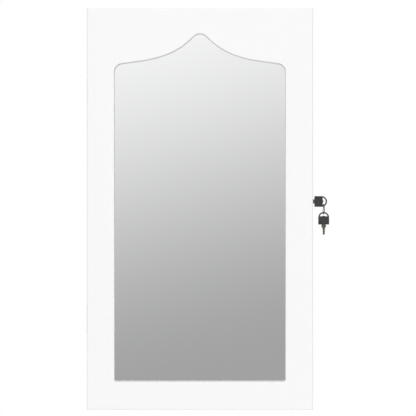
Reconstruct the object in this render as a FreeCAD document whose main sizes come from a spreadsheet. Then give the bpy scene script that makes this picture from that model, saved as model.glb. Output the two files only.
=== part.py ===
"""Wall-hung jewelry cabinet with a mirror door, a side lock and two keys.

The origin is the middle of the back face. +X points right, +Y into the wall, +Z up, so the mirror faces -Y.
"""

import FreeCAD, Part
import os
import re
import Sketcher

# Driving sizes, in millimetres and degrees.
SIZES = {
    # carcass
    "width": 377, "height": 670, "body_depth": 62, "board": 9, "edge_round": 2.5,
    "back_thickness": 6, "back_lap": 4.5, "lining_thickness": 2, "lining_clearance": 0.5,
    "dowel_radius": 3, "dowel_in_side": 6, "dowel_in_end": 12,
    "dowel_front": 46, "dowel_back": 20,
    "wall_hole_radius": 2.75, "wall_head_radius": 6, "wall_hole_inset": 63.5, "wall_hole_drop": 75,
    # door
    "door_gap": 2, "rail_depth": 24, "rail_thickness": 10, "front_thickness": 12,
    "door_dowel_depth": 12, "door_lining_thickness": 3,
    "stile_width": 45.4, "opening_drop": 42.2, "opening_sill": 46.8, "bevel": 0.4,
    "peak_radius": 15, "peak_slope": 43, "peak_run": 10,
    "upper_sweep_radius": 118, "middle_slope": 20, "lower_sweep_radius": 189,
    "shoulder_slope": 8, "shoulder_radius": 14, "foot_radius": 4,
    "pane_thickness": 3, "pane_margin": 8, "pane_clearance": 0.3,
    # hinges
    "hinge_length": 47.5, "hinge_top": 136.3, "hinge_bottom": 147, "hinge_stand_off": 1.3,
    "knuckle_radius": 2.2, "hinge_pin_radius": 1, "hinge_pin_clearance": 0.05,
    "leaf_thickness": 0.9, "leaf_reach": 8, "knuckle_gap": 0.3, "pin_head": 0.8, "pin_head_inset": 0.4,
    "hinge_screw_inset": 10, "leaf_edge": 4.2,
    "screw_head_radius": 2.6, "screw_radius": 1.4, "screw_length": 7.5, "screw_tip_radius": 0.35,
    # magnets and buffers
    "magnet_radius": 3, "magnet_length": 7, "magnet_proud": 0.8, "magnet_inset": 145,
    "buffer_radius": 3.5, "buffer_gap": 0.3, "buffer_inset": 35,
    # lock
    "lock_height": 12.8, "lock_depth": 31, "flange_radius": 10, "flange_thickness": 1.5,
    "flange_chamfer": 0.8,
    "barrel_radius": 8, "barrel_inside": 7, "barrel_hole_clearance": 0.1,
    "plug_radius": 6, "plug_clearance": 0.05, "plug_proud": 0.2, "plug_inside": 1.2,
    "nut_across": 22, "nut_thickness": 4, "nut_clearance": 0.05,
    "cam_square": 5, "cam_clearance": 0.05, "cam_thickness": 2, "cam_hub_radius": 7.5,
    "cam_screw_radius": 1.5, "cam_screw_head": 4.2, "cam_screw_head_thickness": 2.4, "cam_screw_length": 8,
    "strike_radius": 17, "strike_pin_radius": 2, "slot_clearance": 1, "hook_wall": 3.6,
    "hook_lead": 25, "hook_trail": 30, "slot_end": 3, "slot_end_ease": 0.1, "neck_drop": 5, "hub_open": 60,
    "hub_side": 100,
    "strike_thickness": 1.5, "strike_half_height": 8, "strike_wrap": 3.5, "strike_pin_length": 9.5,
    "strike_screw_depth": 12, "strike_screw_rise": 4.6, "strike_front_gap": 1, "strike_round": 2.5,
    # keys and ring
    "blade_length": 11.4, "blade_width": 3.9, "blade_thickness": 1.8, "keyway_clearance": 0.1,
    "keyway_end_gap": 0.4, "blade_tip": 1.4, "notch_depth": 0.9, "notch_first": 3, "notch_pitch": 3.2,
    "notch_slope": 0.9, "notch_floor": 0.8, "shoulder_length": 6.2, "shoulder_width": 7.8,
    "shoulder_taper": 2, "neck_length": 1.6, "neck_width": 6.6, "tang_length": 8,
    "bow_length": 21.6, "bow_half_width": 9.2, "bow_square": 13.9, "bow_body_length": 12.6,
    "bow_thickness": 4.6, "loop_thickness": 2.6, "bow_rim": 2.4, "loop_start": 14.2, "loop_bump": 1.0,
    "loop_bump_half": 2.4, "bow_edge_round": 0.9, "bow_corner": 1.2,
    "bow_border": 1.7, "bow_recess": 0.4,
    "ring_radius": 8.2, "ring_wire": 0.7, "ring_place": 15.8, "ring_turn_gap": 0.3, "ring_rest_gap": 0.3,
    "ring_yaw": 12,
    # inside of the body
    "peg_rail_height": 18, "peg_rail_thickness": 8, "peg_rail_round": 2, "peg_rail_drop": 34,
    "rail_side_gap": 14,
    "peg_radius": 1.6, "knob_radius": 3.2, "peg_length": 20, "door_peg_length": 9, "peg_rise": 12,
    "peg_root": 6, "peg_inset": 16, "door_rail_drop": 40,
    "rod_radius": 4, "rod_drop": 278, "rod_stand": 26, "rod_span": 300, "bracket_width": 12,
    "bracket_height": 22, "bracket_base": 3, "bracket_wall": 3, "rod_clearance": 0.05,
    "tray_drop": 388, "tray_wall": 4, "tray_depth": 20, "tray_back": 3, "tray_side_gap": 12,
    "roll_radius": 8, "roll_gap": 0.4, "roll_crown": 0.5, "roll_end_round": 4.5, "roll_end_gap": 0.6,
    "shelf_thickness": 6, "shelf_lower_rise": 60, "shelf_upper_rise": 59, "shelf_front_gap": 3,
    "guard_height": 26, "guard_thickness": 2, "guard_round": 8,
    # inside of the door
    "bar_height": 16, "bar_thickness": 1.6, "bar_stand": 11, "bar_drop": 120, "bar_pitch": 62,
    "bar_side_gap": 20, "bar_round": 5, "hole_radius": 1.1, "hole_inset": 14, "pair_spacing": 7,
    "post_radius": 3, "post_inset": 6.5, "door_guard_height": 58, "door_guard_inset": 1,
}

COUNTS = {"necklace_pegs": 8, "door_pegs": 8, "rolls": 5, "bars": 3, "hole_pairs": 7, "notches": 2}

# Places worked out from the sizes: name, then formula.
PLACES = {
    "half_width": "width / 2",
    "half_height": "height / 2",
    "inner_x": "half_width - board",
    "inner_z": "half_height - board",
    "lining_front": "-back_thickness - lining_thickness",
    "door_back": "-body_depth - door_gap",
    "rail_front": "door_back - rail_depth",
    "rail_x": "half_width - rail_thickness",
    "rail_z": "half_height - rail_thickness",
    "door_lining_back": "rail_front + door_lining_thickness",
    # bracket-shaped mirror opening, from its peak down one side
    "sill_z": "-half_height + opening_sill",
    "peak_z": "half_height - opening_drop",
    "opening_x": "half_width - stile_width",
    "arch_1_x": "peak_radius * sin(peak_slope)",
    "arch_1_z": "peak_z - peak_radius * (1 - cos(peak_slope))",
    "arch_2_x": "arch_1_x + peak_run * cos(peak_slope)",
    "arch_2_z": "arch_1_z - peak_run * sin(peak_slope)",
    "arch_3_x": "arch_2_x + upper_sweep_radius * (sin(peak_slope) - sin(middle_slope))",
    "arch_3_z": "arch_2_z - upper_sweep_radius * (cos(middle_slope) - cos(peak_slope))",
    "arch_4_x": "arch_3_x + lower_sweep_radius * (sin(middle_slope) - sin(shoulder_slope))",
    "arch_4_z": "arch_3_z - lower_sweep_radius * (cos(shoulder_slope) - cos(middle_slope))",
    "arch_5_x": "opening_x - shoulder_radius * (1 - sin(shoulder_slope))",
    "arch_5_z": "arch_4_z - (arch_5_x - arch_4_x) * tan(shoulder_slope)",
    "arch_6_z": "arch_5_z - shoulder_radius * cos(shoulder_slope)",
    # hinges
    "hinge_x": "-half_width - hinge_stand_off",
    "hinge_y": "-body_depth - door_gap / 2",
    "hinge_upper_z": "half_height - hinge_top - hinge_length / 2",
    "hinge_lower_z": "-half_height + hinge_bottom - hinge_length / 2",
    "knuckle_length": "hinge_length / 3",
    "leaf_end_x": "hinge_x + hinge_stand_off + leaf_reach",
    "leaf_start_x": "hinge_x + (knuckle_radius + hinge_pin_radius) / 2",
    # lock
    "lock_y": "-lock_depth",
    "face_x": "half_width + flange_thickness + plug_proud",
    "barrel_end_x": "inner_x - barrel_inside",
    "plug_end_x": "barrel_end_x - plug_inside",
    "cam_front_x": "plug_end_x - cam_thickness",
    "slot_half": "strike_pin_radius + slot_clearance",
    "slot_inner": "strike_radius - slot_half",
    "slot_outer": "strike_radius + slot_half",
    "cam_reach": "slot_outer + hook_wall",
    "strike_y": "lock_y - strike_radius",
    "strike_x": "rail_x - strike_thickness",
    # keys, each measured from the shoulder's face on the plug
    "bow_x": "face_x + shoulder_length",
    "bow_arc": "(bow_half_width^2 + (bow_length - bow_square)^2) / (2 * (bow_length - bow_square))",
    "bow_centre": "bow_length - bow_arc",
    "loop_arc": "bow_arc - bow_rim",
    "loop_half": "sqrt(loop_arc^2 - (loop_start - bow_centre)^2)",
    "rim_inner": "sqrt(loop_arc^2 - (ring_place - bow_centre)^2)",
    "rim_outer": "sqrt(bow_arc^2 - (ring_place - bow_centre)^2)",
    "ring_x": "bow_x + ring_place",
    "rim_z": "lock_height - (rim_inner + rim_outer) / 2",
    "ring_top_z": "rim_z + loop_thickness / 2 + ring_wire + ring_turn_gap",
    "ring_z": "ring_top_z - ring_radius",
    "ring_bottom_z": "ring_z - ring_radius",
    "spare_face_z": "ring_bottom_z + ring_wire + ring_rest_gap + bow_rim - bow_length - shoulder_length",
    # fittings
    "rod_height": "inner_z - rod_drop",
    "tray_top": "inner_z - tray_drop",
    "shelf_lower_height": "-inner_z + shelf_lower_rise",
    "shelf_upper_height": "shelf_lower_height + shelf_upper_rise",
    "bar_top": "rail_z - bar_drop",
    "rod_y": "lining_front - rod_stand",
    "roll_pitch": "2 * (roll_radius + roll_crown) + roll_gap",
    "tray_x": "inner_x - tray_side_gap",
    "door_rail_x": "rail_x - rail_side_gap",
    "bar_x": "rail_x - bar_side_gap",
    "bar_y": "door_lining_back + bar_stand",
    "shelf_front_y": "-body_depth + shelf_front_gap",
}

doc = FreeCAD.newDocument("jewelry_cabinet")
nodes = []


def formula(text, own_sheet=False):
    """Point each size and place that a formula names at its cell."""
    def cell(word):
        name = word[0]
        if name in SIZES:
            return "dims." + name
        return "places." + name if name in PLACES and not own_sheet else name
    return re.sub(r"[a-z][a-z_0-9]*", cell, str(text))


def fill_sheets():
    """Write the driving sizes as plain numbers and the places as formulas."""
    dims = doc.addObject("Spreadsheet::Sheet", "dims")
    for row, (name, value) in enumerate(SIZES.items(), 1):
        dims.set(f"A{row}", name)
        dims.set(f"B{row}", str(value))
        dims.setAlias(f"B{row}", name)
    doc.recompute()
    places = doc.addObject("Spreadsheet::Sheet", "places")
    for row, (name, text) in enumerate(PLACES.items(), 1):
        places.set(f"A{row}", name)
        places.setAlias(f"B{row}", name)
    for row, (name, text) in enumerate(PLACES.items(), 1):
        places.set(f"B{row}", "=" + formula(text, own_sheet=True))
    doc.recompute()
    return doc.addObject("Spreadsheet::Sheet", "sums")


sums = fill_sheets()


def number(text):
    """The value of a formula now, worked out in a spare cell."""
    sums.set("A1", "=" + formula(text))
    sums.recompute()
    return float(sums.get("A1"))


def bind(thing, prop, text):
    thing.setExpression(prop, formula(text))


def place(thing, x="0", y="0", z="0", turn=None):
    """Put a thing at x, y, z, turned by (axis, angle) where given."""
    if turn:
        rotation = FreeCAD.Rotation(FreeCAD.Vector(*turn[0]), turn[1])
        thing.Placement = FreeCAD.Placement(FreeCAD.Vector(), rotation)
    for axis, text in zip("xyz", (x, y, z)):
        bind(thing, "Placement.Base." + axis, text)
    return thing


def node(thing, label):
    """Keep a finished piece under its own name."""
    thing.Label = label
    if thing.Label != label:
        raise RuntimeError(label + ": the name is taken")
    nodes.append(thing)
    return thing


# ---------------------------------------------------------------- sketches and features

def body(name, x="0", y="0", z="0", turn=None):
    return place(doc.addObject("PartDesign::Body", name), x, y, z, turn)


def sketch(owner, plane, lift="0"):
    """An empty sketch on one of the body's own planes, lifted along the plane's normal."""
    new = owner.newObject("Sketcher::SketchObject", owner.Name + "_sketch")
    role = [feature for feature in owner.Origin.OriginFeatures if feature.Role == plane][0]
    new.AttachmentSupport = [(role, "")]
    new.MapMode = "FlatFace"
    bind(new, "AttachmentOffset.Base.z", lift)
    return new


def fix(new, kind, geometry, end, text):
    """Tie one coordinate of a point to a formula."""
    index = new.addConstraint(Sketcher.Constraint(kind, -1, 1, geometry, end, number(text)))
    bind(new, f"Constraints[{index}]", text)


def outline(new, corners):
    """A closed outline. A corner is (across, up), or (across, up, radius) where an arc leads on from it.

    The arc bulges to the right of the way along, or to the left if the radius starts with a minus.
    """
    first = new.GeometryCount
    points = [FreeCAD.Vector(number(corner[0]), number(corner[1]), 0) for corner in corners]
    ends = []
    for index, corner in enumerate(corners):
        start, stop = points[index], points[(index + 1) % len(points)]
        if len(corner) < 3:
            new.addGeometry(Part.LineSegment(start, stop), False)
            ends.append((1, 2))
            continue
        leftward = corner[2].startswith("-")
        radius = number(corner[2].lstrip("-"))
        half = (stop - start) * 0.5
        right = FreeCAD.Vector(half.y, -half.x, 0).normalize()
        rise = radius - max(radius ** 2 - half.Length ** 2, 0) ** 0.5
        middle = start + half + right * (-rise if leftward else rise)
        new.addGeometry(Part.Arc(start, middle, stop), False)
        ends.append((2, 1) if leftward else (1, 2))
    for index, corner in enumerate(corners):
        after = (index + 1) % len(corners)
        new.addConstraint(Sketcher.Constraint(
            "Coincident", first + index, ends[index][1], first + after, ends[after][0]))
    for index, corner in enumerate(corners):
        fix(new, "DistanceX", first + index, ends[index][0], corner[0])
        fix(new, "DistanceY", first + index, ends[index][0], corner[1])
        if len(corner) == 3:
            radius = corner[2].lstrip("-")
            held = new.addConstraint(Sketcher.Constraint("Radius", first + index, number(radius)))
            bind(new, f"Constraints[{held}]", radius)
    return new


def circle(new, across, up, radius):
    centre = FreeCAD.Vector(number(across), number(up), 0)
    index = new.addGeometry(Part.Circle(centre, FreeCAD.Vector(0, 0, 1), number(radius)), False)
    fix(new, "DistanceX", index, 3, across)
    fix(new, "DistanceY", index, 3, up)
    held = new.addConstraint(Sketcher.Constraint("Radius", index, number(radius)))
    bind(new, f"Constraints[{held}]", radius)
    return new


def rectangle(low_x, low_y, high_x, high_y):
    return [(low_x, low_y), (high_x, low_y), (high_x, high_y), (low_x, high_y)]


def extrude(owner, kind, profile, length=None, reverse=False, both=False):
    """A pad or pocket of a sketch; without a length a pocket goes through all, both ways."""
    feature = owner.newObject("PartDesign::" + kind, owner.Name + "_" + kind.lower())
    feature.Profile = profile
    if length is None:
        feature.Type = "ThroughAll"
        both = True
    else:
        bind(feature, "Length", length)
    feature.Midplane = both
    feature.Reversed = reverse
    owner.recompute(True)
    return feature


def pad(owner, profile, length, reverse=False, both=False):
    return extrude(owner, "Pad", profile, length, reverse, both)


def pocket(owner, profile, length=None, reverse=False):
    """Cut a sketch out of the body and make sure that it took material away."""
    before = owner.Shape.Volume
    feature = extrude(owner, "Pocket", profile, length, reverse)
    if owner.Shape.Volume > before - 1e-6:
        raise RuntimeError(owner.Name + ": a pocket cut nothing")
    return feature


def dress(owner, kind, size, wanted):
    """Fillet or chamfer the edges of the body whose middle and direction pass a test."""
    base = owner.Tip
    names = []
    for index, edge in enumerate(base.Shape.Edges, 1):
        middle = edge.valueAt((edge.FirstParameter + edge.LastParameter) / 2)
        if wanted(middle, edge):
            names.append(f"Edge{index}")
    feature = owner.newObject("PartDesign::" + kind, owner.Name + "_" + kind.lower())
    feature.Base = (base, names)
    bind(feature, "Radius" if kind == "Fillet" else "Size", size)
    owner.recompute(True)
    return feature


def revolve(owner, profile):
    """Turn a sketch right round its own horizontal axis."""
    feature = owner.newObject("PartDesign::Revolution", owner.Name + "_turned")
    feature.Profile = profile
    feature.ReferenceAxis = (profile, ["H_Axis"])
    feature.Angle = 360
    owner.recompute(True)


def along(edge, axis):
    """Whether a straight edge runs along an axis."""
    if not isinstance(edge.Curve, (Part.Line, Part.LineSegment)):
        return False
    return abs(edge.tangentAt(edge.FirstParameter).dot(axis)) > 0.999


X, Y, Z = FreeCAD.Vector(1, 0, 0), FreeCAD.Vector(0, 1, 0), FreeCAD.Vector(0, 0, 1)


def near(one, other):
    return abs(one - other) < 1e-3


# ---------------------------------------------------------------- plain solids

def box(name, low, size):
    """A board from its lowest corner and its three sizes."""
    new = doc.addObject("Part::Box", name)
    for prop, text in zip(("Length", "Width", "Height"), size):
        bind(new, prop, text)
    return place(new, *low)


TURNS = {"+X": ((0, 1, 0), 90), "-X": ((0, 1, 0), -90), "+Y": ((1, 0, 0), -90), "-Y": ((1, 0, 0), 90),
         "+Z": ((0, 0, 1), 0), "-Z": ((1, 0, 0), 180)}


def cylinder(name, start, way, radius, length):
    new = doc.addObject("Part::Cylinder", name)
    bind(new, "Radius", radius)
    bind(new, "Height", length)
    return place(new, *start, turn=TURNS[way])


def cone(name, start, way, radius, end_radius, length):
    new = doc.addObject("Part::Cone", name)
    bind(new, "Radius1", radius)
    bind(new, "Radius2", end_radius)
    bind(new, "Height", length)
    return place(new, *start, turn=TURNS[way])


def group(name, things):
    """Like pieces kept together, each its own solid."""
    new = doc.addObject("Part::Compound", name)
    new.Links = things
    return new


def join(name, things):
    new = doc.addObject("Part::MultiFuse", name)
    new.Shapes = things
    return new


def cut(name, base, tool):
    new = doc.addObject("Part::Cut", name)
    new.Base = base
    new.Tool = tool
    return new


def step(start, way, distance):
    """The point that lies a distance from a start along an axis."""
    index = "XYZ".index(way[1])
    point = list(start)
    point[index] = f"{point[index]} {way[0]} ({distance})"
    return point


def countersunk_screw(name, start, way, length="screw_length"):
    """A screw whose flat head lies in the surface at start and whose shank runs the given way."""
    head = cone(name + "_head", start, way, "screw_head_radius", "screw_radius",
                "screw_head_radius - screw_radius")
    shank = cylinder(name + "_shank", start, way, "screw_radius", length)
    tip = cone(name + "_tip", step(start, way, length), way, "screw_radius", "screw_tip_radius",
               "screw_radius")
    return join(name, [head, shank, tip])


# ---------------------------------------------------------------- carcass

def carcass_dowels():
    """Two wooden dowels in each corner, across the joint of side and end boards."""
    dowels = []
    for side, way in (("-", "-X"), ("+", "+X")):
        for end in ("-", "+"):
            for depth in ("dowel_front", "dowel_back"):
                start = (f"0 {side} (inner_x - dowel_in_end)", f"-{depth}",
                         f"0 {end} (half_height - board / 2)")
                dowels.append(cylinder("dowel", start, way, "dowel_radius", "dowel_in_side + dowel_in_end"))
    return group("carcass_dowels_set", dowels)


def end_board(label, side, recess, dowels):
    """Top or bottom board between the sides, rebated for the back, its outer front edge rounded."""
    blank = body(label + "_blank", x="-inner_x")
    outer = f"0 {side} half_height"
    inner = f"0 {side} inner_z"
    profile = outline(sketch(blank, "YZ_Plane"), [
        ("-body_depth", inner), ("0", inner), ("0", outer), ("-body_depth", outer)])
    pad(blank, profile, "2 * inner_x")
    edge_z = number(outer)
    front_y = number("-body_depth")
    dress(blank, "Fillet", "edge_round",
          lambda middle, edge: along(edge, X) and near(middle.z, edge_z) and near(middle.y, front_y))
    node(cut(label, cut(label + "_rebated", blank, recess), dowels), label)


def side_board(label, side, recess, dowels, holes):
    """Left or right board, full height, rebated for the back, its outer front edge rounded."""
    blank = body(label + "_blank", z="-half_height")
    outer = f"0 {side} half_width"
    inner = f"0 {side} inner_x"
    profile = outline(sketch(blank, "XY_Plane"), [
        (inner, "-body_depth"), (outer, "-body_depth"), (outer, "0"), (inner, "0")])
    pad(blank, profile, "height")
    edge_x = number(outer)
    front_y = number("-body_depth")
    dress(blank, "Fillet", "edge_round",
          lambda middle, edge: along(edge, Z) and near(middle.x, edge_x) and near(middle.y, front_y))
    bored = cut(label + "_rebated", blank, recess)
    for index, hole in enumerate([dowels] + holes):
        bored = cut(f"{label}_bored_{index}", bored, hole)
    node(bored, label)


def wall_holes(name, start_y, radius, length):
    holes = [cylinder(name, (f"0 {side} (half_width - wall_hole_inset)", start_y,
                             f"0 {end} (half_height - wall_hole_drop)"), "+Y", radius, length)
             for side in "-+" for end in "-+"]
    return group(name + "_set", holes)


def carcass(side_screws, lock_hole, side_inserts):
    """Sides, ends, back board and the velvet-covered lining in front of it."""
    recess = box("back_recess", ("-inner_x - back_lap", "-back_thickness", "-inner_z - back_lap"),
                 ("2 * (inner_x + back_lap)", "back_thickness", "2 * (inner_z + back_lap)"))
    dowels = carcass_dowels()
    node(dowels, "carcass_dowels")
    side_board("side_left", "-", recess, dowels, [side_screws])
    side_board("side_right", "+", recess, dowels, [lock_hole, side_inserts])
    end_board("top_board", "+", recess, dowels)
    end_board("bottom_board", "-", recess, dowels)
    holes = wall_holes("wall_hole", "-back_thickness", "wall_hole_radius", "back_thickness")
    node(cut("back_board", recess, holes), "back_board")
    lining = box("lining_sheet",
                 ("-inner_x + lining_clearance", "lining_front", "-inner_z + lining_clearance"),
                 ("2 * (inner_x - lining_clearance)", "lining_thickness", "2 * (inner_z - lining_clearance)"))
    heads = wall_holes("head_hole", "lining_front", "wall_head_radius", "lining_thickness")
    node(cut("back_lining", lining, heads), "back_lining")


# ---------------------------------------------------------------- door

def opening_outline():
    """The bracket arch, anticlockwise from the right foot."""
    right = [
        ("opening_x - foot_radius", "sill_z", "foot_radius"),
        ("opening_x", "sill_z + foot_radius"),
        ("opening_x", "arch_6_z", "shoulder_radius"),
        ("arch_5_x", "arch_5_z"),
        ("arch_4_x", "arch_4_z", "-lower_sweep_radius"),
        ("arch_3_x", "arch_3_z", "-upper_sweep_radius"),
        ("arch_2_x", "arch_2_z"),
        ("arch_1_x", "arch_1_z", "peak_radius"),
    ]
    left = [
        ("-arch_1_x", "arch_1_z"),
        ("-arch_2_x", "arch_2_z", "-upper_sweep_radius"),
        ("-arch_3_x", "arch_3_z", "-lower_sweep_radius"),
        ("-arch_4_x", "arch_4_z"),
        ("-arch_5_x", "arch_5_z", "shoulder_radius"),
        ("-opening_x", "arch_6_z"),
        ("-opening_x", "sill_z + foot_radius", "foot_radius"),
        ("-opening_x + foot_radius", "sill_z"),
    ]
    return right + left


def door_front():
    """Front board with the shaped opening, its bevelled edge and the rebate behind for the mirror."""
    panel = body("door_front_board", y="rail_front")
    pad(panel, outline(sketch(panel, "XZ_Plane"), rectangle("-half_width", "-half_height", "half_width",
                                                            "half_height")), "front_thickness")
    face = number("-front_thickness")
    dress(panel, "Fillet", "edge_round", lambda middle, edge: near(middle.y, face))
    margin = "pane_margin"
    pocket(panel, outline(sketch(panel, "XZ_Plane"), rectangle(
        f"-opening_x - {margin}", f"sill_z - {margin}", f"opening_x + {margin}", f"peak_z + {margin}")),
        "pane_thickness", reverse=True)
    pocket(panel, outline(sketch(panel, "XZ_Plane"), opening_outline()))
    side, low, high = number("opening_x"), number("sill_z"), number("peak_z")
    dress(panel, "Chamfer", "bevel",
          lambda middle, edge: near(middle.y, face) and abs(middle.x) < side + 1
          and low - 1 < middle.z < high + 1)
    node(panel, "door_front")
    inset = "(pane_margin - pane_clearance)"
    node(box("pane", (f"-opening_x - {inset}", "rail_front - pane_thickness", f"sill_z - {inset}"),
             (f"2 * (opening_x + {inset})", "pane_thickness", f"peak_z - sill_z + 2 * {inset}")),
         "mirror_pane")


def door_dowels():
    """One dowel in each corner of the door's box."""
    dowels = []
    for side, way in (("-", "-X"), ("+", "+X")):
        for end in ("-", "+"):
            start = (f"0 {side} (rail_x - door_dowel_depth)", "door_back - rail_depth / 2",
                     f"0 {end} (half_height - rail_thickness / 2)")
            dowels.append(cylinder("door_dowel", start, way, "dowel_radius",
                                   "dowel_in_side + door_dowel_depth"))
    return group("door_dowels_set", dowels)


def door_rail(label, plane, profile, length, start, edge_at, axis, tools):
    """One side of the door's box, with its outer rear edge rounded."""
    blank = body(label + "_blank", **start)
    pad(blank, outline(sketch(blank, plane), profile), length)
    across, rear_y = number(edge_at), number("door_back")

    def outer_rear(middle, edge):
        side = middle.x if axis is Z else middle.z
        return along(edge, axis) and near(side, across) and near(middle.y, rear_y)

    dress(blank, "Fillet", "edge_round", outer_rear)
    for index, tool in enumerate(tools):
        blank = cut(f"{label}_bored_{index}", blank, tool)
    node(blank, label)


def door_box(hinge_screws, strike_screws, inserts):
    """Four rails behind the front board, and the lining board that also keeps the mirror in its rebate."""
    dowels = door_dowels()
    node(dowels, "door_dowels")
    for label, side, extra in (("door_rail_left", "-", [hinge_screws]),
                               ("door_rail_right", "+", [strike_screws, inserts])):
        outer, inner = f"0 {side} half_width", f"0 {side} rail_x"
        profile = [(inner, "rail_front"), (outer, "rail_front"), (outer, "door_back"), (inner, "door_back")]
        door_rail(label, "XY_Plane", profile, "height", {"z": "-half_height"}, outer, Z, [dowels] + extra)
    for label, side in (("door_rail_top", "+"), ("door_rail_bottom", "-")):
        outer, inner = f"0 {side} half_height", f"0 {side} rail_z"
        profile = [("rail_front", inner), ("door_back", inner), ("door_back", outer), ("rail_front", outer)]
        door_rail(label, "YZ_Plane", profile, "2 * rail_x", {"x": "-rail_x"}, outer, X, [dowels])
    node(box("door_lining", ("-rail_x + lining_clearance", "rail_front", "-rail_z + lining_clearance"),
             ("2 * (rail_x - lining_clearance)", "door_lining_thickness", "2 * (rail_z - lining_clearance)")),
         "door_lining")


# ---------------------------------------------------------------- hinges

def leaf_screws(name, base_z, surface_y, way):
    """Two screws through one leaf."""
    across = "hinge_x + hinge_stand_off + leaf_edge"
    heights = (f"{base_z} + hinge_screw_inset", f"{base_z} + hinge_length - hinge_screw_inset")
    return [countersunk_screw(f"{name}_{index}", (across, surface_y, height), way)
            for index, height in enumerate(heights)]


def hinge_leaf(label, base_z, on_door, screws):
    """A plate with knuckles: two on the body's leaf, the middle one on the door's."""
    leaf = body(label + "_blank")
    near_gap = "knuckle_radius + knuckle_gap"
    low, high = f"{base_z} + knuckle_length", f"{base_z} + 2 * knuckle_length"
    top = f"{base_z} + hinge_length"
    if on_door:
        lift = "-door_back - leaf_thickness"
        plate = [("leaf_start_x", f"{low} + knuckle_gap"), (f"hinge_x + {near_gap}", f"{low} + knuckle_gap"),
                 (f"hinge_x + {near_gap}", base_z), ("leaf_end_x", base_z), ("leaf_end_x", top),
                 (f"hinge_x + {near_gap}", top), (f"hinge_x + {near_gap}", f"{high} - knuckle_gap"),
                 ("leaf_start_x", f"{high} - knuckle_gap")]
        knuckles = [(f"{low} + knuckle_gap", "knuckle_length - 2 * knuckle_gap")]
        bore = "hinge_pin_radius + hinge_pin_clearance"
    else:
        lift = "body_depth"
        plate = [("leaf_start_x", base_z), ("leaf_end_x", base_z), ("leaf_end_x", top), ("leaf_start_x", top),
                 ("leaf_start_x", high), (f"hinge_x + {near_gap}", high), (f"hinge_x + {near_gap}", low),
                 ("leaf_start_x", low)]
        knuckles = [(base_z, "knuckle_length"), (high, "knuckle_length")]
        bore = "hinge_pin_radius"
    pad(leaf, outline(sketch(leaf, "XZ_Plane", lift), plate), "leaf_thickness")
    for start, length in knuckles:
        round_part = sketch(leaf, "XY_Plane", start)
        circle(round_part, "hinge_x", "hinge_y", "knuckle_radius")
        pad(leaf, round_part, length)
    pin_hole = sketch(leaf, "XY_Plane", base_z)
    circle(pin_hole, "hinge_x", "hinge_y", bore)
    pocket(leaf, pin_hole)
    node(cut(label, leaf, screws), label)


def hinges():
    """Two butt hinges whose knuckles lie in the rounded edges of side board and door rail."""
    body_screws, door_screws, pins = [], [], []
    for word, base_z in (("upper", "hinge_upper_z"), ("lower", "hinge_lower_z")):
        fixed = leaf_screws(f"body_screw_{word}", base_z, "-body_depth - leaf_thickness", "+Y")
        moving = leaf_screws(f"door_screw_{word}", base_z, "door_back + leaf_thickness", "-Y")
        hinge_leaf(f"hinge_leaf_body_{word}", base_z, False, group(f"body_screws_{word}", fixed))
        hinge_leaf(f"hinge_leaf_door_{word}", base_z, True, group(f"door_screws_{word}", moving))
        pin = cylinder(f"pin_{word}", ("hinge_x", "hinge_y", f"{base_z} - pin_head"), "+Z",
                       "hinge_pin_radius", "hinge_length + 2 * pin_head")
        heads = [cylinder(f"pin_head_{word}_{index}", ("hinge_x", "hinge_y", height), "+Z",
                          "knuckle_radius - pin_head_inset", "pin_head")
                 for index, height in enumerate((f"{base_z} - pin_head", f"{base_z} + hinge_length"))]
        pins.append(join(f"pinned_{word}", [pin] + heads))
        body_screws += fixed
        door_screws += moving
    node(group("hinge_pins", pins), "hinge_pins")
    body_set = node(group("hinge_screws_body", body_screws), "hinge_screws_body")
    door_set = node(group("hinge_screws_door", door_screws), "hinge_screws_door")
    return body_set, door_set


# ---------------------------------------------------------------- magnets and buffers

def magnets_and_buffers():
    """Round magnets let into the edges that meet at the handle side, and soft buffers beside them."""
    middle_x = "half_width - board / 2"
    body_magnets, door_discs, pads = [], [], []
    for side in "-+":
        height = f"0 {side} (half_height - magnet_inset)"
        body_magnets.append(cylinder("magnet", (middle_x, "-body_depth - magnet_proud", height), "+Y",
                                     "magnet_radius", "magnet_length"))
        door_discs.append(cylinder("disc", (middle_x, "door_back + magnet_proud", height), "-Y",
                                   "magnet_radius", "magnet_length"))
        corner = (middle_x, "-body_depth", f"0 {side} (half_height - buffer_inset)")
        pads.append(cylinder("buffer", corner, "-Y", "buffer_radius", "door_gap - buffer_gap"))
    node(group("door_buffers", pads), "door_buffers")
    return (node(group("body_magnets", body_magnets), "body_magnets"),
            node(group("door_discs", door_discs), "door_discs"))


# ---------------------------------------------------------------- lock

def lock_barrel():
    """Turned housing: a flange outside the side board and a threaded sleeve through it."""
    barrel = body("barrel_blank", y="lock_y", z="lock_height")
    bore, rim = "plug_radius + plug_clearance", "half_width + flange_thickness"
    section = outline(sketch(barrel, "XZ_Plane"), [
        ("barrel_end_x", bore), (rim, bore), (rim, "flange_radius - flange_chamfer"),
        (f"{rim} - flange_chamfer", "flange_radius"), ("half_width", "flange_radius"),
        ("half_width", "barrel_radius"), ("barrel_end_x", "barrel_radius")])
    revolve(barrel, section)
    node(barrel, "lock_barrel")
    hole = cylinder("lock_hole", ("inner_x", "lock_y", "lock_height"), "+X",
                    "barrel_radius + barrel_hole_clearance", "board")
    nut = body("nut_blank", x="inner_x", y="lock_y", z="lock_height")
    half, corner, flat = "nut_across / 2", "nut_across / 2 / cos(30)", "nut_across / 2 * tan(30)"
    hexagon = outline(sketch(nut, "YZ_Plane"), [
        (half, f"-({flat})"), (half, flat), ("0", corner), (f"-({half})", flat), (f"-({half})", f"-({flat})"),
        ("0", f"-({corner})")])
    pad(nut, hexagon, "nut_thickness", reverse=True)
    bore = sketch(nut, "YZ_Plane")
    circle(bore, "0", "0", "barrel_radius + nut_clearance")
    pocket(nut, bore)
    node(nut, "lock_nut")
    return hole


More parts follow.
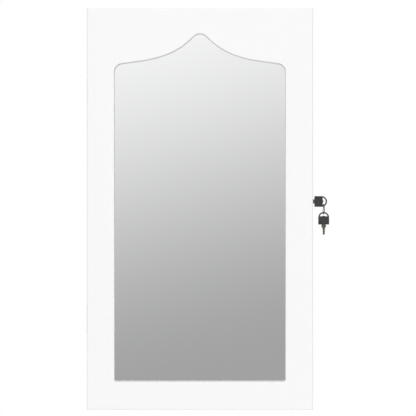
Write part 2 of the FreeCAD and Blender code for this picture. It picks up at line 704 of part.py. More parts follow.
def lock_plug(keyway):
    """The turning cylinder, with a square end for the cam and a keyway."""
    plug = body("plug_blank", x="plug_end_x", y="lock_y", z="lock_height")
    core = sketch(plug, "YZ_Plane")
    circle(core, "0", "0", "plug_radius")
    pad(plug, core, "face_x - plug_end_x")
    half = "cam_square / 2"
    square = outline(sketch(plug, "YZ_Plane"), rectangle(f"-{half}", f"-{half}", half, half))
    pad(plug, square, "cam_thickness", reverse=True)
    screw = join("cam_screw_blank", [
        cylinder("cam_screw_cap", ("cam_front_x", "lock_y", "lock_height"), "-X",
                 "cam_screw_head", "cam_screw_head_thickness"),
        cylinder("cam_screw_shank", ("cam_front_x", "lock_y", "lock_height"), "+X",
                 "cam_screw_radius", "cam_screw_length")])
    node(cut("lock_plug", cut("plug_keyed", plug, keyway), screw), "lock_plug")
    node(screw, "cam_screw")


def lock_cam():
    """Hooked cam: a hub on the plug's square and an arm whose curved slot closes round the strike pin.

    At rest it points up. Its slot is an arc about the lock's axis, open towards the door.
    """
    cam = body("cam_blank", x="cam_front_x", y="lock_y", z="lock_height")

    def at(radius, angle):
        return f"-({radius}) * sin({angle})", f"({radius}) * cos({angle})"

    profile = [
        (*at("cam_hub_radius", "hub_side"), "cam_hub_radius"),
        (*at("cam_hub_radius", "180"), "cam_hub_radius"),
        (*at("cam_hub_radius", "-hub_side"), "cam_hub_radius"),
        at("cam_hub_radius", "-hub_open"),
        at("slot_inner - neck_drop", "-hook_trail"),
        (*at("cam_reach", "-hook_trail"), "cam_reach"),
        at("cam_reach", "hook_lead"),
        (*at("slot_outer", "hook_lead"), "-slot_outer"),
        (*at("slot_outer", "-slot_end"), "-slot_half + slot_end_ease"),
        (*at("slot_inner", "-slot_end"), "slot_inner"),
        at("slot_inner", "hook_lead"),
        (*at("cam_hub_radius", "hub_open"), "cam_hub_radius"),
    ]
    pad(cam, outline(sketch(cam, "YZ_Plane"), profile), "cam_thickness")
    half = "cam_square / 2 + cam_clearance"
    pocket(cam, outline(sketch(cam, "YZ_Plane"), rectangle(f"-({half})", f"-({half})", half, half)))
    node(cam, "lock_cam")


def lock_strike():
    """Plate on the door's right rail that reaches into the body and carries the pin the cam hooks."""
    heights = ("lock_height - strike_screw_rise", "lock_height + strike_screw_rise")
    screws = [countersunk_screw(f"strike_screw_{index}",
                                ("strike_x", "door_back - strike_screw_depth", height), "+X")
              for index, height in enumerate(heights)]
    screw_set = node(group("strike_screws", screws), "strike_screws")
    plate = body("strike_blank", x="strike_x")
    low, high = "lock_height - strike_half_height", "lock_height + strike_half_height"
    rear, front = "strike_y + strike_wrap", "door_lining_back + strike_front_gap"
    pad(plate, outline(sketch(plate, "YZ_Plane"), rectangle(front, low, rear, high)), "strike_thickness")
    pin = sketch(plate, "YZ_Plane")
    circle(pin, "strike_y", "lock_height", "strike_pin_radius")
    pad(plate, pin, "strike_pin_length", reverse=True)
    front_y, rear_y = number(front), number(rear)
    dress(plate, "Fillet", "strike_round",
          lambda middle, edge: along(edge, X) and (near(middle.y, rear_y) or near(middle.y, front_y)))
    node(cut("lock_strike", plate, screw_set), "lock_strike")
    return screw_set


# ---------------------------------------------------------------- keys

def key_blank(name, **where):
    """Flat metal key along +X from its blade: wafer notches, a bulged shoulder and a tang inside the bow."""
    blank = body(name, **where)
    half, broad, neck, tip = "blade_width / 2", "shoulder_width / 2", "neck_width / 2", "-blade_length"
    tail, narrowed = "shoulder_length + tang_length", "shoulder_length - neck_length"
    upper = [(tail, neck), ("shoulder_length", neck), (narrowed, broad), ("shoulder_taper", broad),
             ("0", half)]
    lower = [(across, f"-({up})") for across, up in reversed(upper)]
    head = [(tip, "-blade_tip / 2"), (f"{tip} + {half}", f"-({half})")] + lower + upper
    notches = []
    for index in range(COUNTS["notches"]):
        start = f"-notch_first - {index} * notch_pitch"
        notches += [(start, half), (f"{start} - notch_slope", f"{half} - notch_depth"),
                    (f"{start} - notch_slope - notch_floor", f"{half} - notch_depth"),
                    (f"{start} - 2 * notch_slope - notch_floor", half)]
    end = [(f"{tip} + {half}", half), (tip, "blade_tip / 2")]
    pad(blank, outline(sketch(blank, "XZ_Plane"), head + notches + end), "blade_thickness", both=True)
    return blank


def key_bow(label, blank, **where):
    """Moulded grip: a thick square with a border, a thinner D-shaped loop, a crescent hole for the ring."""
    bow = body(label + "_shell", **where)
    start = "shoulder_length"
    low, high = "-bow_half_width", "bow_half_width"
    end = f"{start} + bow_square"
    loop = outline(sketch(bow, "XZ_Plane"), [
        (start, low), (end, low, "bow_arc"), (f"{start} + bow_length", "0", "bow_arc"), (end, high),
        (start, high)])
    pad(bow, loop, "loop_thickness", both=True)
    edge = f"{start} + loop_start"
    hole = outline(sketch(bow, "XZ_Plane"), [
        (edge, "-loop_half", "loop_arc"), (f"{start} + bow_length - bow_rim", "0", "loop_arc"),
        (edge, "loop_half"),
        (edge, "loop_bump_half", "-(loop_bump_half^2 + loop_bump^2) / (2 * loop_bump)"),
        (edge, "-loop_bump_half")])
    pocket(bow, hole)
    side = number("loop_thickness / 2")
    dress(bow, "Fillet", "bow_edge_round", lambda middle, edge: near(abs(middle.y), side))
    corner, reach = "bow_corner", f"{start} + bow_body_length"

    def grip(inset):
        """The grip's rounded square, drawn in by an inset on all four sides."""
        left, right = f"{start} + {inset}", f"{reach} - {inset}"
        foot, head = f"{low} + {inset}", f"{high} - {inset}"
        return [(f"{left} + {corner}", foot), (f"{right} - {corner}", foot, corner),
                (right, f"{foot} + {corner}"), (right, f"{head} - {corner}", corner),
                (f"{right} - {corner}", head), (f"{left} + {corner}", head, corner),
                (left, f"{head} - {corner}"), (left, f"{foot} + {corner}", corner)]

    pad(bow, outline(sketch(bow, "XZ_Plane"), grip("0")), "bow_thickness - 2 * bow_recess", both=True)
    border = outline(outline(sketch(bow, "XZ_Plane"), grip("0")), grip("bow_border"))
    pad(bow, border, "bow_thickness", both=True)
    node(cut(label, bow, blank), label)


def keys():
    """The key in the lock, the ring that hangs from it and the spare key on the ring."""
    where = {"x": "face_x", "y": "lock_y", "z": "lock_height"}
    blank = key_blank("key_blank", **where)
    key_bow("key_bow", blank, **where)
    node(blank, "key_blade")
    ring = doc.addObject("Part::Torus", "ring")
    bind(ring, "Radius1", "ring_radius")
    bind(ring, "Radius2", "ring_wire")
    turned = FreeCAD.Rotation(Z, number("ring_yaw")).multiply(FreeCAD.Rotation(Y, 90))
    ring.Placement = FreeCAD.Placement(FreeCAD.Vector(), turned)
    place(ring, "ring_x", "lock_y", "ring_z")
    node(ring, "key_ring")
    hanging = {"x": "ring_x", "y": "lock_y", "z": "spare_face_z", "turn": ((0, 1, 0), -90)}
    spare = key_blank("spare_blank", **hanging)
    key_bow("spare_key_bow", spare, **hanging)
    node(spare, "spare_key_blade")
    return box("keyway", ("face_x - blade_length - keyway_end_gap",
                          "lock_y - blade_thickness / 2 - keyway_clearance",
                          "lock_height - blade_width / 2 - keyway_clearance"),
               ("blade_length + keyway_end_gap", "blade_thickness + 2 * keyway_clearance",
                "blade_width + 2 * keyway_clearance"))


# ---------------------------------------------------------------- inside of the body

def peg(name, start, way, length):
    """Turned peg: a root in the rail, a slim shank that rises a little, and a ball at its end."""
    new = body(name)
    profile = outline(sketch(new, "XZ_Plane"), [
        ("-peg_root", "0"), ("-peg_root", "peg_radius"),
        (f"{length} - sqrt(knob_radius^2 - peg_radius^2)", "peg_radius", "-knob_radius"),
        (f"{length} + knob_radius", "0")])
    revolve(new, profile)
    outward = FreeCAD.Rotation(Z, -90 if way == "-" else 90)
    raised = outward.multiply(FreeCAD.Rotation(Y, -number("peg_rise")))
    new.Placement = FreeCAD.Placement(FreeCAD.Vector(), raised)
    return place(new, *start)


def peg_rail(label, peg_label, way, half_span, back_y, height, length):
    """A strip on a lining board, with a row of pegs pressed into it; way is the side it faces along Y."""
    strip = body(label + "_strip", y=back_y)
    pad(strip, outline(sketch(strip, "XZ_Plane"), rectangle(
        f"-({half_span})", height, half_span, f"{height} + peg_rail_height")),
        "peg_rail_thickness", reverse=way == "+")
    front = number(f"{way} peg_rail_thickness")
    dress(strip, "Fillet", "peg_rail_round", lambda middle, edge: near(middle.y, front))
    pitch = f"2 * ({half_span} - peg_inset) / {COUNTS[peg_label] - 1}"
    front_y, middle_z = f"{back_y} {way} peg_rail_thickness", f"{height} + peg_rail_height / 2"
    first_x = f"-({half_span}) + peg_inset"
    pegs = [peg(f"{peg_label}_{index}", (f"{first_x} + {index} * {pitch}", front_y, middle_z), way, length)
            for index in range(COUNTS[peg_label])]
    peg_set = node(group(peg_label + "_set", pegs), peg_label)
    node(cut(label, strip, peg_set), label)


def bracelet_rod():
    """A round rod for bracelets and watches on two brackets."""
    rod = cylinder("rod", ("-rod_span / 2", "rod_y", "rod_height"), "+X", "rod_radius", "rod_span")
    brackets = []
    for side in "-+":
        holder = body("rod_bracket", x=f"0 {side} (rod_span / 2 - bracket_width) - bracket_width / 2")
        half = "bracket_height / 2"
        nose = "rod_radius + bracket_wall"
        profile = [("lining_front", f"rod_height - {half}"), ("lining_front", f"rod_height + {half}"),
                   ("lining_front - bracket_base", f"rod_height + {half}"),
                   ("rod_y", f"rod_height + {nose}", nose),
                   (f"rod_y - ({nose})", "rod_height", nose), ("rod_y", f"rod_height - ({nose})"),
                   ("lining_front - bracket_base", f"rod_height - {half}")]
        pad(holder, outline(sketch(holder, "YZ_Plane"), profile), "bracket_width")
        bore = sketch(holder, "YZ_Plane")
        circle(bore, "rod_y", "rod_height", "rod_radius + rod_clearance")
        pocket(holder, bore)
        brackets.append(holder)
    node(rod, "bracelet_rod")
    node(group("rod_brackets", brackets), "rod_brackets")


def ring_cushion():
    """A shallow tray on the lining and the padded rolls that hold rings between them."""
    tray = body("tray_blank", y="lining_front")
    count = COUNTS["rolls"]
    low = f"tray_top - 2 * tray_wall - {count} * roll_pitch - roll_gap"
    pad(tray, outline(sketch(tray, "XZ_Plane"), rectangle("-tray_x", low, "tray_x", "tray_top")),
        "tray_depth")
    pocket(tray, outline(sketch(tray, "XZ_Plane", "tray_back"), rectangle(
        "-tray_x + tray_wall", f"{low} + tray_wall", "tray_x - tray_wall", "tray_top - tray_wall")),
        "tray_depth", reverse=True)
    node(tray, "ring_tray")
    for index in range(count):
        label = f"ring_roll_{index + 1}"
        roll = body(label + "_form", y="lining_front - tray_back - roll_gap - roll_radius - roll_crown",
                    z=f"tray_top - tray_wall - roll_gap - ({index} + 0.5) * roll_pitch")
        end = "tray_x - tray_wall - roll_end_gap"
        side = f"{end} - roll_end_round"
        profile = outline(sketch(roll, "XZ_Plane"), [
            (f"-({end})", "0"), (f"{end}", "0"), (f"{end}", "roll_radius - roll_end_round", "roll_end_round"),
            (side, "roll_radius", f"(({side})^2 + roll_crown^2) / (2 * roll_crown)"),
            (f"-({side})", "roll_radius", "roll_end_round"),
            (f"-({end})", "roll_radius - roll_end_round")])
        revolve(roll, profile)
        node(roll, label)


def guard(label, half_span, y, z, height):
    """Clear plate that keeps things from sliding off, its upper corners rounded."""
    plate = body(label + "_plate", y=y)
    top = f"{z} + {height}"
    pad(plate, outline(sketch(plate, "XZ_Plane"), [
        (f"-({half_span})", z), (half_span, z), (half_span, f"{top} - guard_round", "guard_round"),
        (f"{half_span} - guard_round", top), (f"-({half_span}) + guard_round", top, "guard_round"),
        (f"-({half_span})", f"{top} - guard_round")]), "guard_thickness")
    node(plate, label)


def shelves():
    """Two shelves between the sides, and a clear guard on each and on the floor."""
    for word, height in (("upper", "shelf_upper_height"), ("lower", "shelf_lower_height")):
        node(box(f"shelf_{word}", ("-inner_x", "shelf_front_y", f"{height} - shelf_thickness"),
                 ("2 * inner_x", "lining_front - shelf_front_y", "shelf_thickness")), f"shelf_{word}")
    for word, height in (("upper", "shelf_upper_height"), ("lower", "shelf_lower_height"),
                         ("floor", "-inner_z")):
        guard(f"guard_{word}", "inner_x", "shelf_front_y + guard_thickness", height, "guard_height")


# ---------------------------------------------------------------- inside of the door

def earring_bars():
    """Perforated strips on posts: each pair of holes takes the hooks of one pair of earrings."""
    posts = []
    for index in range(COUNTS["bars"]):
        label = f"earring_bar_{index + 1}"
        height = f"bar_top - {index} * bar_pitch"
        strip = body(label + "_strip", y="bar_y")
        low = f"{height} - bar_height"
        face = sketch(strip, "XZ_Plane")
        outline(face, [
            ("-bar_x + bar_round", low), ("bar_x - bar_round", low, "bar_round"),
            ("bar_x", f"{low} + bar_round"), ("bar_x", f"{height} - bar_round", "bar_round"),
            ("bar_x - bar_round", height), ("-bar_x + bar_round", height, "bar_round"),
            ("-bar_x", f"{height} - bar_round"), ("-bar_x", f"{low} + bar_round", "bar_round")])
        pitch = f"2 * (bar_x - hole_inset - pair_spacing) / {COUNTS['hole_pairs'] - 1}"
        for pair in range(COUNTS["hole_pairs"]):
            middle = f"-bar_x + hole_inset + pair_spacing + {pair} * {pitch}"
            for side in "-+":
                circle(face, f"{middle} {side} pair_spacing / 2", f"{height} - bar_height / 2", "hole_radius")
        pad(strip, face, "bar_thickness")
        node(strip, label)
        for side in "-+":
            start = (f"0 {side} (bar_x - post_inset)", "door_lining_back", f"{height} - bar_height / 2")
            posts.append(cylinder("bar_post", start, "+Y", "post_radius", "bar_stand - bar_thickness"))
    node(group("bar_posts", posts), "bar_posts")


# ---------------------------------------------------------------- the whole cabinet

def build():
    body_screws, door_screws = hinges()
    body_magnets, door_discs = magnets_and_buffers()
    lock_hole = lock_barrel()
    keyway = keys()
    lock_plug(keyway)
    lock_cam()
    strike_screws = lock_strike()
    carcass(body_screws, lock_hole, body_magnets)
    door_front()
    door_box(door_screws, strike_screws, door_discs)
    peg_rail("peg_rail", "necklace_pegs", "-", "inner_x - rail_side_gap", "lining_front",
             "inner_z - peg_rail_drop", "peg_length")
    bracelet_rod()
    ring_cushion()
    shelves()
    peg_rail("door_peg_rail", "door_pegs", "+", "door_rail_x", "door_lining_back",
             "rail_z - door_rail_drop", "door_peg_length")
    earring_bars()
    guard("door_guard", "rail_x", "door_back - door_guard_inset", "-rail_z", "door_guard_height")


def check_all():
    """Stop before anything is written if a feature failed or a piece isn't sound."""
    doc.recompute()
    for thing in doc.Objects:
        bad = [state for state in thing.State if state in ("Invalid", "Error")]
        if bad:
            raise RuntimeError(f"{thing.Name} ({thing.Label}): {bad}")
    for piece in nodes:
        if piece.Shape.isNull() or not piece.Shape.isValid() or not piece.Shape.Solids:
            raise RuntimeError(f"{piece.Label}: no sound solid")


def export():
    os.makedirs("parts", exist_ok=True)
    for piece in nodes:
        piece.Shape.exportStep(os.path.join("parts", piece.Label + ".step"))
    print(len(nodes), "pieces written")


build()
check_all()
export()
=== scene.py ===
"""A wall-hung jewelry cabinet with a mirror door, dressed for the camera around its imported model."""

import math

import bpy
import numpy as np
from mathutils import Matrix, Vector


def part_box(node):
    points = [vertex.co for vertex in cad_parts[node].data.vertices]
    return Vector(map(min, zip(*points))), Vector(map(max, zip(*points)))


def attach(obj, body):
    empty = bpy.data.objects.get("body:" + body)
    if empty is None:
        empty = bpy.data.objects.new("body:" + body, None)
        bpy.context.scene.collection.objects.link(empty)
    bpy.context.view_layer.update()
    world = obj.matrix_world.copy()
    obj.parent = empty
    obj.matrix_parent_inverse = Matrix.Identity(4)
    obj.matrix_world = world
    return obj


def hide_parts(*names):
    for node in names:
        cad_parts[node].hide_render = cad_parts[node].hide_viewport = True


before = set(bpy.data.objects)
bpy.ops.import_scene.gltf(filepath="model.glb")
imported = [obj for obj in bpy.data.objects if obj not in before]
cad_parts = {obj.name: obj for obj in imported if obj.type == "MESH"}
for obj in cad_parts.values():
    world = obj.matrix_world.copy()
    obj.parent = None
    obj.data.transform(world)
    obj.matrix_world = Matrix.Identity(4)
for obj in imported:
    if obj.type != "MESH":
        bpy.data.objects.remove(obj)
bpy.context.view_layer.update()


# ---- View: a studio camera squarely in front of the door, 2.2 m from its face and level with its middle.
# The cabinet hangs a little left of the picture's centre, because the keys stand out to its right.
CAMERA_DISTANCE = 2.2
PICTURE_WIDTH = 0.6932
SENSOR = 36.0
CAMERA_ASIDE = 0.01341
CAMERA_ABOVE = 0.00158

camera = bpy.data.objects.new("camera", bpy.data.cameras.new("camera"))
bpy.context.scene.collection.objects.link(camera)
camera.data.sensor_width = SENSOR
camera.data.lens = SENSOR * CAMERA_DISTANCE / PICTURE_WIDTH
camera.location = (CAMERA_ASIDE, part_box("door_front")[0].y - CAMERA_DISTANCE, CAMERA_ABOVE)
camera.rotation_euler = (math.radians(90), 0, 0)
bpy.context.scene.camera = camera
bpy.context.scene.view_settings.view_transform = "Standard"


# ---- Studio: a white room with a pale floor below the cabinet. Its front, back, roof and floor are bright
# and its side walls dim, which draws the opening's edges as grey lines. The mirror reflects a screen that
# fades from white at the top to grey below, a little darker to the right.
ROOM_SIDES, ROOM_ENDS, ROOM_TURN = 0.06, 0.975, 0.9
ROOM_STEEP, ROOM_STEEP_FROM = 1.03, 0.3
SCREEN_FOOT, SCREEN_TOP = 0.385, 1.04
SCREEN_FROM, SCREEN_TO = -0.13, 0.21
SCREEN_TILT = 0.27
LAMP_PLACE, LAMP_SIZE, LAMP_WATTS = (0.9, -3.6, 1.0), 1.8, 12
FLOOR_HEIGHT, FLOOR_REACH = -0.85, 2.5
FLOOR_PALE, FLOOR_LIFT = (0.85, 0.85, 0.85, 1), 0.3


def join_nodes(tree, kind, **settings):
    """A new shader node; settings whose names start with in_ are socket indexes and what feeds them."""
    made = tree.nodes.new(kind)
    for name, value in settings.items():
        if not name.startswith("in_"):
            setattr(made, name, value)
            continue
        socket = made.inputs[int(name[3:])]
        if isinstance(value, bpy.types.NodeSocket):
            tree.links.new(value, socket)
        else:
            socket.default_value = value
    return made.outputs[0]


def reckon(tree, operation, *values):
    """The result of a Math node that works on sockets or numbers."""
    feeds = {f"in_{index}": value for index, value in enumerate(values)}
    return join_nodes(tree, "ShaderNodeMath", operation=operation, **feeds)


def ramp(tree, value, start, stop, low, high):
    """Low up to the start, high from the stop on, and a smooth step between them."""
    return join_nodes(tree, "ShaderNodeMapRange", interpolation_type="SMOOTHSTEP", in_0=value,
                      in_1=start, in_2=stop, in_3=low, in_4=high)


def between(tree, factor, first, second):
    """A number that runs from the first to the second as a factor goes from 0 to 1."""
    return join_nodes(tree, "ShaderNodeMix", in_0=factor, in_2=first, in_3=second)


def studio_room():
    """World light: white to the camera and through clear sheets, and a fading screen to reflections.

    To matt faces it is bright ahead and behind and dim at the sides, by a smooth step of |Y|. A smooth step
    of |Z| adds the bright roof and floor.
    """
    world = bpy.data.worlds.new("studio")
    bpy.context.scene.world = world
    world.use_nodes = True
    tree = world.node_tree
    way = tree.nodes.new("ShaderNodeSeparateXYZ")
    tree.links.new(tree.nodes.new("ShaderNodeTexCoord").outputs["Generated"], way.inputs[0])
    tilt = reckon(tree, "MULTIPLY", way.outputs["X"], SCREEN_TILT)
    slant = reckon(tree, "SUBTRACT", way.outputs["Z"], tilt)
    screen = ramp(tree, slant, SCREEN_FROM, SCREEN_TO, SCREEN_FOOT, SCREEN_TOP)
    ahead = ramp(tree, reckon(tree, "ABSOLUTE", way.outputs["Y"]), 0.0, ROOM_TURN, ROOM_SIDES, ROOM_ENDS)
    steep = ramp(tree, reckon(tree, "ABSOLUTE", way.outputs["Z"]), ROOM_STEEP_FROM, 1.0, 0.0, ROOM_STEEP)
    room = reckon(tree, "ADD", steep, ahead)
    ray = tree.nodes.new("ShaderNodeLightPath")
    lit = between(tree, ray.outputs["Is Glossy Ray"], room, screen)
    clear = reckon(tree, "MAXIMUM", ray.outputs["Is Camera Ray"], ray.outputs["Is Transmission Ray"])
    shader = tree.nodes["Background"]
    shader.inputs["Color"].default_value = (1, 1, 1, 1)
    tree.links.new(between(tree, clear, lit, 1.0), shader.inputs["Strength"])


def soft_lamp(name):
    """A large square lamp, high in front on the right, that faces the cabinet and isn't reflected."""
    lamp = bpy.data.objects.new(name, bpy.data.lights.new(name, "AREA"))
    bpy.context.scene.collection.objects.link(lamp)
    lamp.data.size = LAMP_SIZE
    lamp.data.energy = LAMP_WATTS
    lamp.location = LAMP_PLACE
    lamp.rotation_euler = (-lamp.location).to_track_quat("-Z", "Y").to_euler()
    lamp.visible_glossy = False


def studio_floor():
    """A pale floor that is white to the camera outside the cabinet's shadow."""
    corners = [(-FLOOR_REACH, -FLOOR_REACH, FLOOR_HEIGHT), (FLOOR_REACH, -FLOOR_REACH, FLOOR_HEIGHT),
               (FLOOR_REACH, FLOOR_REACH, FLOOR_HEIGHT), (-FLOOR_REACH, FLOOR_REACH, FLOOR_HEIGHT)]
    mesh = bpy.data.meshes.new("floor")
    mesh.from_pydata(corners, [], [(0, 1, 2, 3)])
    floor = bpy.data.objects.new("floor", mesh)
    bpy.context.scene.collection.objects.link(floor)
    pale = bpy.data.materials.new("pale_floor")
    pale.use_nodes = True
    tree = pale.node_tree
    shader = tree.nodes["Principled BSDF"]
    shader.inputs["Base Color"].default_value = FLOOR_PALE
    shader.inputs["Roughness"].default_value = 1.0
    shader.inputs["Specular IOR Level"].default_value = 0.0
    shader.inputs["Emission Color"].default_value = (1, 1, 1, 1)
    ray = tree.nodes.new("ShaderNodeLightPath")
    lift = reckon(tree, "MULTIPLY", ray.outputs["Is Camera Ray"], FLOOR_LIFT)
    tree.links.new(lift, shader.inputs["Emission Strength"])
    mesh.materials.append(pale)


studio_room()
soft_lamp("key_lamp")
studio_floor()


# ---- Boards: fibreboard panels sprayed with white satin lacquer and sanded at the edges, dowelled and glued.
# Inside, their faces are flocked black like the velvet lining. The lacquer has the faint swell of a sprayed
# coat. The door's milled edges and the back stay matt and greyer: on the edges the grey is painted shade.
LACQUER_WHITE = (0.925, 0.925, 0.925, 1)
LACQUER_ROUGHNESS = 0.34
SATIN_LOW, SATIN_HIGH, SATIN_PATCHES = 0.3, 0.38, 45
COAT_SWELL, COAT_RISE, COAT_DEPTH = 260, 0.05, 0.0003
# Grey painted on the door's milled edges as shade; the back board takes the same grey.
EDGE_SHADE_GREY = (0.8, 0.8, 0.795, 1)
EDGE_ROUGHNESS = 0.85
EDGE_RIM = 0.001
FLOCK_BLACK = (0.013, 0.013, 0.015, 1)
FLOCK_WORN = (0.021, 0.021, 0.024, 1)
FLOCK_ROUGHNESS = 0.95
FLOCK_TUFTS, FLOCK_PATCHES, FLOCK_RISE = 1400, 30, 0.6
FLOCK_EDGE = 0.0004


def finish(name, colour, roughness, **sockets):
    """A Principled material; what is the same all over is set on the shader's own sockets."""
    made = bpy.data.materials.new(name)
    made.use_nodes = True
    shader = made.node_tree.nodes["Principled BSDF"]
    shader.inputs["Base Color"].default_value = colour
    shader.inputs["Roughness"].default_value = roughness
    for words, value in sockets.items():
        shader.inputs[words.replace("_", " ")].default_value = value
    return made


def noise_of(tree, scale, stretch=(1, 1, 1), detail=2.0):
    """Noise on the piece's own coordinates, with that many features to the metre, stretched by axis."""
    place = tree.nodes.new("ShaderNodeTexCoord").outputs["Object"]
    mapped = join_nodes(tree, "ShaderNodeMapping", in_0=place, in_3=stretch)
    return join_nodes(tree, "ShaderNodeTexNoise", in_0=mapped, in_2=scale, in_3=detail)


def patches(tree, noise, start, stop):
    """0 up to the start of a noise and 1 from the stop on, straight between them."""
    return join_nodes(tree, "ShaderNodeMapRange", in_0=noise, in_1=start, in_2=stop)


def blend(tree, factor, first, second):
    """A colour that runs from the first to the second as a factor goes from 0 to 1."""
    mix = join_nodes(tree, "ShaderNodeMix", data_type="RGBA", in_0=factor, in_6=first, in_7=second)
    return mix.node.outputs[2]


def tint(made, factor, first, second):
    """The base colour is a blend of two."""
    tree = made.node_tree
    tree.links.new(blend(tree, factor, first, second), tree.nodes["Principled BSDF"].inputs["Base Color"])


def gloss(made, factor, low, high):
    """The roughness runs from low to high as a factor goes from 0 to 1."""
    tree = made.node_tree
    value = join_nodes(tree, "ShaderNodeMapRange", in_0=factor, in_3=low, in_4=high)
    tree.links.new(value, tree.nodes["Principled BSDF"].inputs["Roughness"])


def satin_gloss(made, factor, other):
    """The lacquer's roughness in soft patches, which gives way to another as a factor goes from 0 to 1."""
    tree = made.node_tree
    satin = join_nodes(tree, "ShaderNodeMapRange", in_0=noise_of(tree, SATIN_PATCHES),
                       in_3=SATIN_LOW, in_4=SATIN_HIGH)
    tree.links.new(between(tree, factor, satin, other), tree.nodes["Principled BSDF"].inputs["Roughness"])


def relief(made, height, strength, distance):
    """The surface rises by a distance in metres where a height is 1."""
    tree = made.node_tree
    bump = tree.nodes.new("ShaderNodeBump")
    bump.inputs["Strength"].default_value = strength
    bump.inputs["Distance"].default_value = distance
    tree.links.new(height, bump.inputs["Height"])
    tree.links.new(bump.outputs[0], tree.nodes["Principled BSDF"].inputs["Normal"])


def own_axes(tree):
    """The piece's own coordinates as X, Y and Z sockets."""
    split = tree.nodes.new("ShaderNodeSeparateXYZ")
    tree.links.new(tree.nodes.new("ShaderNodeTexCoord").outputs["Object"], split.inputs[0])
    return split.outputs


def wear(names, made):
    """Give CAD nodes a finish."""
    for name in names:
        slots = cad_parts[name].data.materials
        slots.clear()
        slots.append(made)


def board_finish(name, inner_x, inner_z):
    """Lacquer outside; the faces that look into the box, where |X| and |Z| are within it, are flocked."""
    made = finish(name, LACQUER_WHITE, LACQUER_ROUGHNESS)
    tree = made.node_tree
    axes = own_axes(tree)
    within_x = reckon(tree, "LESS_THAN", reckon(tree, "ABSOLUTE", axes["X"]), inner_x + FLOCK_EDGE)
    within_z = reckon(tree, "LESS_THAN", reckon(tree, "ABSOLUTE", axes["Z"]), inner_z + FLOCK_EDGE)
    flocked = reckon(tree, "MULTIPLY", within_x, within_z)
    worn = patches(tree, noise_of(tree, FLOCK_PATCHES), 0.4, 0.65)
    tint(made, flocked, LACQUER_WHITE, blend(tree, worn, FLOCK_BLACK, FLOCK_WORN))
    satin_gloss(made, flocked, FLOCK_ROUGHNESS)
    swell = reckon(tree, "MULTIPLY", noise_of(tree, COAT_SWELL), COAT_RISE)
    pile = noise_of(tree, FLOCK_TUFTS)
    relief(made, between(tree, flocked, swell, pile), FLOCK_RISE, COAT_DEPTH)
    return made


def panel_finish(name, face):
    """Lacquer on the face of a panel, at Y = face; deeper than its rim it is matt, and greyer as painted
    shade.
    """
    made = finish(name, LACQUER_WHITE, LACQUER_ROUGHNESS)
    tree = made.node_tree
    behind = patches(tree, own_axes(tree)["Y"], face + EDGE_RIM / 2, face + EDGE_RIM)
    # Deeper than the rim the lacquer turns grey: painted shade on the door's milled edges.
    tint(made, behind, LACQUER_WHITE, EDGE_SHADE_GREY)
    satin_gloss(made, behind, EDGE_ROUGHNESS)
    relief(made, noise_of(tree, COAT_SWELL), COAT_RISE, COAT_DEPTH)
    return made


wear(["side_left", "side_right", "top_board", "bottom_board"],
     board_finish("cabinet_board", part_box("top_board")[1].x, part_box("top_board")[0].z))
wear(["door_rail_left", "door_rail_right", "door_rail_top", "door_rail_bottom"],
     board_finish("door_board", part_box("door_rail_top")[1].x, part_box("door_rail_top")[0].z))
wear(["door_front"], panel_finish("door_lacquer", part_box("door_front")[0].y))
wear(["back_board"], panel_finish("back_lacquer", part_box("back_board")[0].y))


# ---- Mirror: a pane of float glass with a silvered back, held in the rebate by the lining board behind it.
# Clear glass is a little green, so the silver reflects slightly less red.
SILVER = (0.935, 0.945, 0.94, 1)
SILVER_FAINT = (0.925, 0.935, 0.93, 1)

silvered = finish("silvered_glass", SILVER, 0.0, Metallic=1.0)
tint(silvered, noise_of(silvered.node_tree, 6), SILVER, SILVER_FAINT)
wear(["mirror_pane"], silvered)


# ---- Linings: velvet-faced board glued into the back of the box and of the door, and the strips and
# shelves covered with the same cloth. Its pile lies in soft patches and catches light at its edges.
VELVET = (0.011, 0.011, 0.013, 1)
VELVET_BRUSHED = (0.018, 0.018, 0.021, 1)


def velvet_finish(name, tufts):
    """Black pile cloth with that many tufts to the metre and brushed patches."""
    made = finish(name, VELVET, 0.92, Sheen_Weight=0.35, Sheen_Roughness=0.45, Specular_IOR_Level=0.2)
    tree = made.node_tree
    brushed = patches(tree, noise_of(tree, 22, stretch=(1, 1, 0.5), detail=4.0), 0.3, 0.75)
    tint(made, brushed, VELVET, VELVET_BRUSHED)
    relief(made, noise_of(tree, tufts, detail=3.0), strength=0.7, distance=0.0004)
    return made


wear(["back_lining", "door_lining", "peg_rail", "door_peg_rail", "shelf_upper", "shelf_lower", "ring_tray"],
     velvet_finish("velvet", tufts=1500))


# ---- Dowels: fluted beech pins glued across each corner joint; they lie hidden in the boards.
# Beech is pale, with short darker flecks along the grain.
BEECH_PALE, BEECH_FLECK = (0.66, 0.48, 0.3, 1), (0.45, 0.3, 0.17, 1)

beech = finish("beech", (0.62, 0.44, 0.27, 1), 0.7)
tint(beech, noise_of(beech.node_tree, 700, stretch=(0.08, 1, 1)), BEECH_PALE, BEECH_FLECK)
relief(beech, noise_of(beech.node_tree, 900, stretch=(0.05, 1, 1)), strength=0.3, distance=0.0002)
wear(["carcass_dowels", "door_dowels"], beech)


# ---- Hinges: two pressed and rolled steel butt hinges, nickel plated, turning on riveted pins.
# Two wood screws hold each leaf to its board's edge, their countersunk heads flush with the leaf and
# turned home by hand, so that no two cross recesses stand alike. The plating has fine drawn lines.
NICKEL, NICKEL_DRAWN = (0.72, 0.71, 0.69, 1), (0.6, 0.59, 0.57, 1)
SCREW_INSET, SCREW_TURN = 0.010, 0.9
SCREW_SHANK, SCREW_TIP = 0.0014, 0.25
SCREW_SIDES, HEAD_ROWS, NECK_ROWS = 48, 18, 4
PAN_ROUNDING = 0.6
THREAD_PITCH, THREAD_ROWS, THREAD_CORE = 0.0011, 6, 0.72
RECESS_REACH, RECESS_ARM, RECESS_DEPTH, RECESS_WALL, RECESS_SLOPE = 0.62, 0.17, 0.48, 0.06, 1.6


